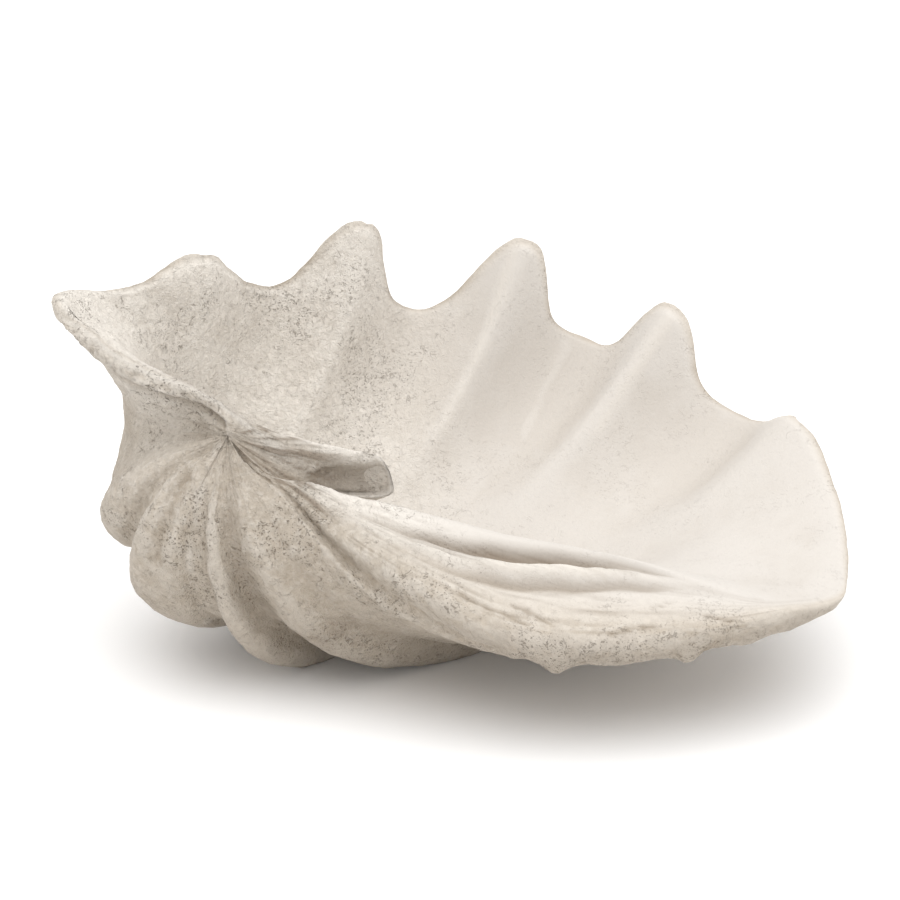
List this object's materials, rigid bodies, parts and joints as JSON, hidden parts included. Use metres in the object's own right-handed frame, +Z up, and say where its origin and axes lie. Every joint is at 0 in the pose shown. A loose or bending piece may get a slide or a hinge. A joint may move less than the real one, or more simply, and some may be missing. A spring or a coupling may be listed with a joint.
{
  "type": "clam shell",
  "caption": "Large scalloped clam shell valve with deep rounded ribs, toothed rim, hinge plate and smooth bowl, in chalky off-white.",
  "frame": {"origin": "middle of the bounding box at the level that the shell rests on", "axes": "+X towards the long plain end of the shell, +Y towards the toothed rim at the back, +Z up"},
  "size_m": [0.4492, 0.3392, 0.2154],
  "materials": {
    "shell": "matte chalky"
  },
  "bodies": {
    "root": {"clam_shell": "shell"}
  },
  "joints": []
}
